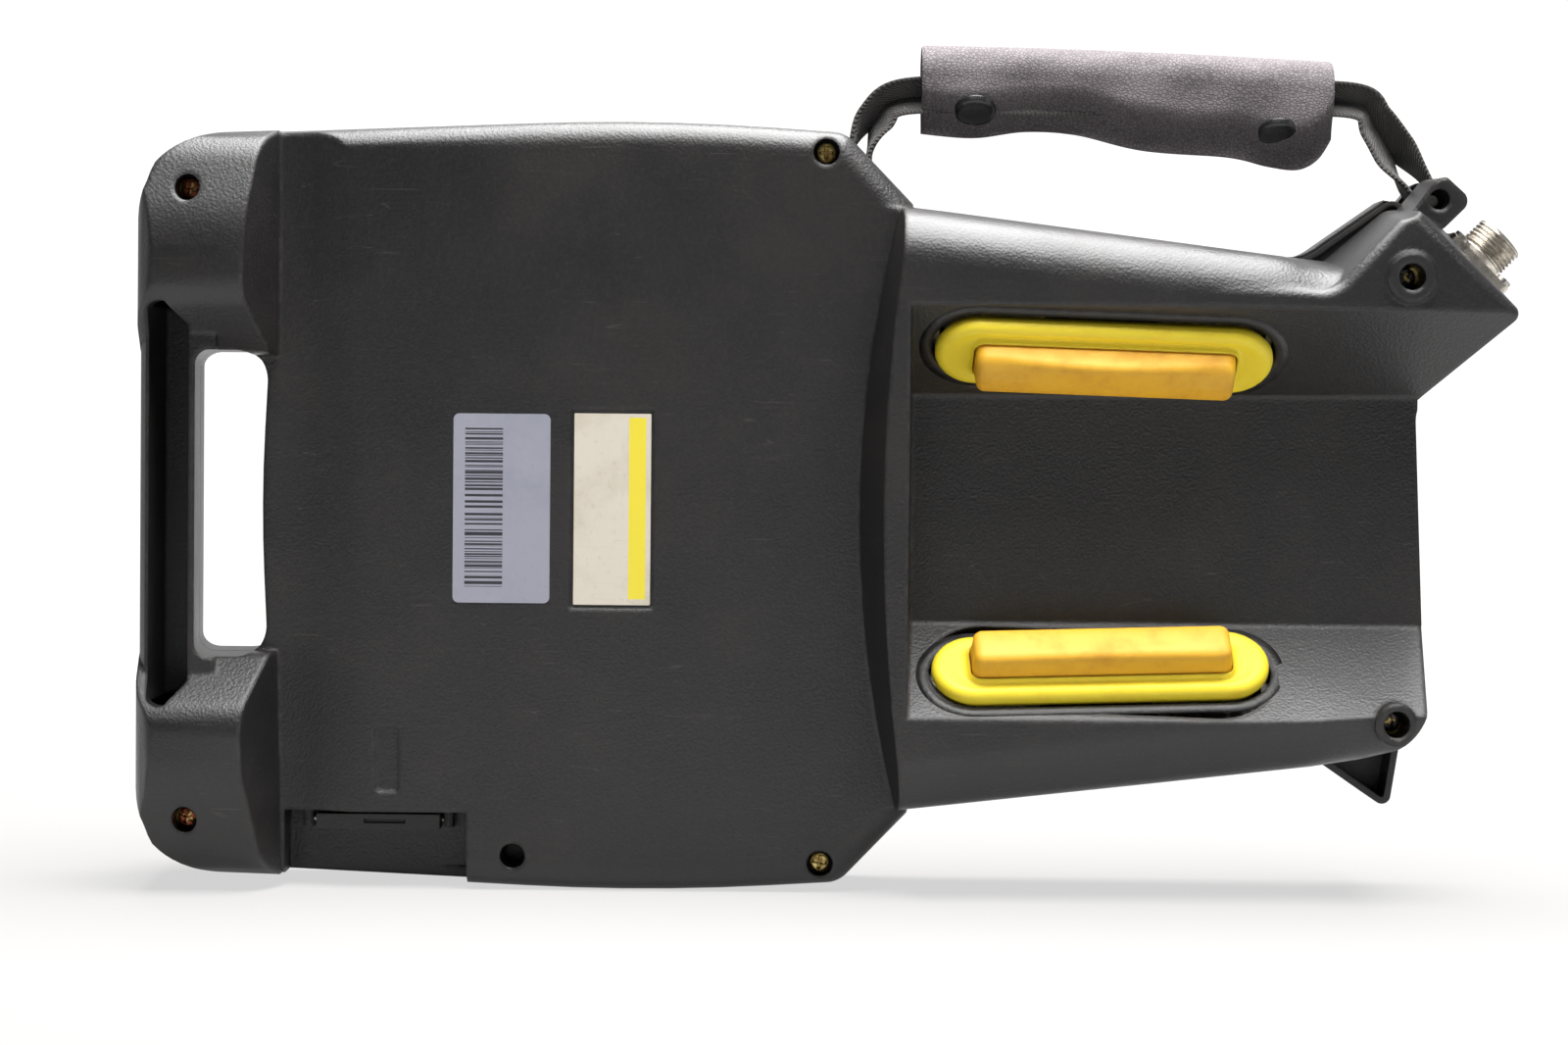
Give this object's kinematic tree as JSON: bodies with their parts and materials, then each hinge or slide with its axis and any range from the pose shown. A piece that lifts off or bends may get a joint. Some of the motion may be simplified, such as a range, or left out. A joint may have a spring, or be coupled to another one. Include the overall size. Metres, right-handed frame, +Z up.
{
  "type": "teach pendant",
  "caption": "Hand-held robot control pendant with screen, key field, emergency stop, rear grip trough with two enabling bars, carrying handle and padded hand strap.",
  "frame": {"origin": "on the floor under the middle of the bounding box; the pendant stands on its long lower edge and the housing's parting plane is y = 0", "axes": "+X from the carrying handle to the cable receptacle, +Y out of the front face with screen and keys, +Z up"},
  "size_m": [0.3704, 0.0832, 0.2264],
  "materials": {
    "charcoal_shell": "fine pebble grain, satin",
    "seal_rubber": "soft seal",
    "zinc_screws": "yellow passivated zinc",
    "clear_window": "clear",
    "screen": "dark screen",
    "key_membrane": "satin film",
    "circuit_board": "solder mask",
    "lamp_pipe": "clear tinted",
    "collar_yellow": "moulded",
    "stop_red": "moulded",
    "contact_black": "moulded",
    "nickel": "satin nickel",
    "steel": "brushed",
    "boot_yellow": "matt rubber",
    "bar_amber": "worn rubber",
    "webbing_black": "woven",
    "pad_leatherette": "embossed",
    "stud_caps": "lacquered",
    "label_grey": "paper label",
    "label_cream": "plate"
  },
  "bodies": {
    "case": {"rear_cover": "charcoal_shell", "front_housing": "charcoal_shell", "housing_gasket": "seal_rubber", "cover_screws": "zinc_screws", "display_window": "clear_window", "lcd_module": "screen", "keysheet": "key_membrane", "keypad_board": "circuit_board", "main_board": "circuit_board", "status_lamps": "lamp_pipe", "estop_collar": "collar_yellow", "estop_body": "contact_black", "estop_nut": "nickel", "selector_bezel": "nickel", "selector_body": "contact_black", "selector_nut": "nickel", "usb_socket": "nickel", "usb_hinge_pin": "steel", "socket_flange": "nickel", "socket_shell": "nickel", "socket_insert": "contact_black", "socket_pins": "zinc_screws", "socket_screws": "steel", "strap_webbing": "webbing_black", "strap_pins": "steel", "asset_label": "label_grey", "rating_label": "label_cream", "enable_boot_upper": "boot_yellow", "enable_bracket_upper": "steel", "enable_switch_upper": "contact_black", "enable_boot_lower": "boot_yellow", "enable_bracket_lower": "steel", "enable_switch_lower": "contact_black"},
    "enable_upper": {"enable_bar_upper": "bar_amber"},
    "enable_lower": {"enable_bar_lower": "bar_amber"},
    "estop_stem": {"estop_plunger": "contact_black"},
    "estop_cap": {"estop_head": "stop_red"},
    "selector": {"selector_knob": "contact_black"},
    "port_cover": {"usb_cover": "contact_black"},
    "hand_pad": {"strap_pad": "pad_leatherette", "pad_snaps": "stud_caps"}
  },
  "joints": [
    {"name": "enable_upper_press", "type": "slide", "parent": "case", "child": "enable_upper", "axis": [0, 0.6737, 0.739], "range_m": [0, 0.004], "stiffness_N_per_m": 900, "springref_m": -0.002},
    {"name": "enable_lower_press", "type": "slide", "parent": "case", "child": "enable_lower", "axis": [0, 0.6737, -0.739], "range_m": [0, 0.004], "stiffness_N_per_m": 900, "springref_m": -0.002},
    {"name": "estop_push", "type": "slide", "parent": "case", "child": "estop_stem", "axis": [0, -1, 0], "range_m": [0, 0.004]},
    {"name": "estop_twist", "type": "hinge", "parent": "estop_stem", "child": "estop_cap", "pos_m": [-0.1625, 0.036, 0.03795], "axis": [0, -1, 0], "range_deg": [0, 45], "stiffness_Nm_per_rad": 0.02},
    {"name": "selector_turn", "type": "hinge", "parent": "case", "child": "selector", "pos_m": [-0.1625, 0.026, 0.16595], "axis": [0, -1, 0], "range_deg": [0, 90]},
    {"name": "port_cover_open", "type": "hinge", "parent": "case", "child": "port_cover", "pos_m": [-0.1198, -0.0084, 0.0174], "axis": [1, 0, 0], "range_deg": [0, 95]},
    {"name": "pad_slide", "type": "slide", "parent": "case", "child": "hand_pad", "axis": [1, 0, 0], "range_m": [-0.004, 0.004]}
  ]
}
